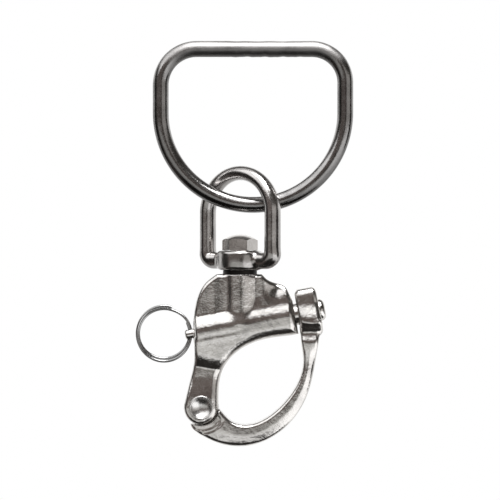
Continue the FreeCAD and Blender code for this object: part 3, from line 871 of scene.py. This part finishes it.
class World:
    """Colour of the studio as a function of direction, built from soft-edged zones."""

    def __init__(self):
        world = bpy.data.worlds.new("studio")
        world.use_nodes = True
        bpy.context.scene.world = world
        self.tree = world.node_tree
        self.tree.nodes.clear()
        coordinates = node(self.tree, "ShaderNodeTexCoord")
        self.direction = coordinates.outputs["Generated"]
        split = node(self.tree, "ShaderNodeSeparateXYZ")
        self.tree.links.new(self.direction, split.inputs[0])
        self.x, self.y, self.z = split.outputs
        self.colour = None

    def ramp(self, value, start, end):
        """0 at start and 1 at end, whichever of the two is larger."""
        ranged = node(self.tree, "ShaderNodeMapRange", interpolation_type="SMOOTHSTEP")
        rising = start < end
        ranged.inputs["From Min"].default_value = min(start, end)
        ranged.inputs["From Max"].default_value = max(start, end)
        ranged.inputs["To Min"].default_value = 0.0 if rising else 1.0
        ranged.inputs["To Max"].default_value = 1.0 if rising else 0.0
        self.tree.links.new(value, ranged.inputs["Value"])
        return ranged.outputs["Result"]

    def math(self, operation, *inputs):
        made = node(self.tree, "ShaderNodeMath", operation=operation)
        for k, value in enumerate(inputs):
            if isinstance(value, (int, float)):
                made.inputs[k].default_value = value
            else:
                self.tree.links.new(value, made.inputs[k])
        return made.outputs[0]

    def product(self, *values):
        total = values[0]
        for value in values[1:]:
            total = self.math("MULTIPLY", total, value)
        return total

    def start(self, colour):
        base = node(self.tree, "ShaderNodeRGB")
        base.outputs[0].default_value = (*colour, 1)
        self.colour = base.outputs[0]

    def zone(self, mask, colour):
        """Where mask is 1 the studio has this colour."""
        mix = node(self.tree, "ShaderNodeMix", data_type="RGBA")
        self.tree.links.new(mask, mix.inputs["Factor"])
        self.tree.links.new(self.colour, mix.inputs["A"])
        mix.inputs["B"].default_value = (*colour, 1)
        self.colour = mix.outputs["Result"]

    def finish(self, seen):
        """seen is the plain colour that the camera itself sees."""
        path = node(self.tree, "ShaderNodeLightPath")
        mix = node(self.tree, "ShaderNodeMix", data_type="RGBA")
        self.tree.links.new(path.outputs["Is Camera Ray"], mix.inputs["Factor"])
        self.tree.links.new(self.colour, mix.inputs["A"])
        mix.inputs["B"].default_value = (*seen, 1)
        shader = node(self.tree, "ShaderNodeBackground")
        self.tree.links.new(mix.outputs["Result"], shader.inputs["Color"])
        output = node(self.tree, "ShaderNodeOutputWorld")
        self.tree.links.new(shader.outputs["Background"], output.inputs["Surface"])


WHITE_CARD = (1.5, 1.5, 1.5)
BRIGHT = (1.1, 1.1, 1.1)
BLACK_FLAG = (0.03, 0.028, 0.026)
PLAIN_WHITE = (1.0, 1.0, 1.0)


def make_world():
    """The zones that the steel reflects, each laid over those before it.

    elevation is the angle above the direction towards the camera, and azimuth the angle to the right
    of it. x, y and z are parts of the direction itself: to the right, away from the camera, and up.
    """
    w = World()
    w.start((0.15, 0.125, 0.115))
    toward = w.math("MULTIPLY", w.y, -1.0)
    elevation = w.math("ARCTAN2", w.z, toward)
    azimuth = w.math("ARCTAN2", w.x, toward)
    level = w.math("ABSOLUTE", w.z)
    side = w.math("ABSOLUTE", w.x)

    def turned(value, start, end):
        """A ramp of an angle, given in degrees."""
        return w.ramp(value, math.radians(start), math.radians(end))

    # low in front: a grey card with a bright strip across it, and a black flag under them
    grey_card = w.product(turned(elevation, 0.5, -5), turned(elevation, -38, -28), w.ramp(side, 0.9, 0.6))
    w.zone(grey_card, (0.62, 0.62, 0.60))
    strip = w.product(turned(elevation, -16, -24), turned(elevation, -31, -27), w.ramp(side, 0.30, 0.15))
    w.zone(strip, BRIGHT)
    w.zone(w.product(turned(elevation, -28, -34), w.ramp(side, 0.8, 0.6)), BLACK_FLAG)

    # level with the object, on the right: a narrow dark flag and a wide grey card
    narrow_flag = w.product(turned(azimuth, 0, 3), turned(azimuth, 15, 11), w.ramp(level, 0.16, 0.08))
    w.zone(narrow_flag, (0.04, 0.035, 0.03))
    wide_card = w.product(turned(azimuth, 16, 21), turned(azimuth, 76, 70), w.ramp(level, 0.5, 0.3))
    w.zone(wide_card, (0.52, 0.50, 0.48))

    # low on the right: a white card
    low_right = w.product(w.ramp(w.x, 0.22, 0.38), w.ramp(w.x, 0.97, 0.92), w.ramp(w.z, -0.04, -0.16),
                          w.ramp(w.z, -0.78, -0.66))
    w.zone(low_right, WHITE_CARD)

    # far left and far right: black flags, and a dark one high on the right
    for flank in (w.ramp(w.x, -0.80, -0.90), w.ramp(w.x, 0.92, 0.96)):
        w.zone(w.product(flank, w.ramp(level, 0.6, 0.4)), BLACK_FLAG)
    w.zone(w.product(w.ramp(w.x, 0.08, 0.22), w.ramp(w.z, 0.20, 0.32)), (0.05, 0.045, 0.04))

    # behind the object: a pale wall with a dark band high up, brighter in the middle
    w.zone(w.ramp(w.y, 0.12, 0.30), (0.90, 0.90, 0.89))
    w.zone(w.product(turned(elevation, 98, 106), turned(elevation, 146, 138)), (0.13, 0.125, 0.12))
    w.zone(w.ramp(w.y, 0.72, 0.90), BRIGHT)

    # a small flag behind on the left, for the left facet of the bolt's hexagon
    hex_left = w.product(w.ramp(w.y, 0.59, 0.63), w.ramp(w.y, 0.77, 0.73), w.ramp(w.x, -0.6, -0.64))
    w.zone(w.product(hex_left, w.ramp(level, 0.12, 0.08)), (0.05, 0.045, 0.045))

    # overhead and high in front, all but the right: a white ceiling
    ceiling = w.product(turned(elevation, 27, 34), turned(elevation, 112, 100), w.ramp(w.x, 0.22, 0.08),
                        w.ramp(w.x, -0.92, -0.75))
    w.zone(ceiling, WHITE_CARD)
    w.finish(PLAIN_WHITE)


def make_area_light(name, place, target, size, power):
    light = bpy.data.lights.new(name, "AREA")
    light.shape = "RECTANGLE"
    light.size, light.size_y = size
    light.energy = power
    lamp = bpy.data.objects.new(name, light)
    lamp.location = place
    lamp.rotation_mode = "QUATERNION"
    lamp.rotation_quaternion = (Vector(target) - Vector(place)).to_track_quat("-Z", "Y")
    bpy.context.scene.collection.objects.link(lamp)


def make_camera():
    data = bpy.data.cameras.new("camera")
    data.sensor_width = SENSOR_WIDTH
    data.lens = SENSOR_WIDTH * CAMERA_DISTANCE / FRAME_WIDTH
    data.clip_start, data.clip_end = 0.01, 20
    camera = bpy.data.objects.new("camera", data)
    camera.location = Vector(CAMERA_AIM) + Vector((0, -CAMERA_DISTANCE, 0))
    camera.rotation_mode = "QUATERNION"
    camera.rotation_quaternion = Vector((0, 1, 0)).to_track_quat("-Z", "Y")
    bpy.context.scene.collection.objects.link(camera)
    bpy.context.scene.camera = camera


make_floor()
make_world()
make_area_light("key", (0.1, -0.3, 0.7), (0, 0, -0.06), (0.5, 0.5), 6.0)
make_camera()
bpy.context.scene.view_settings.view_transform = "Standard"
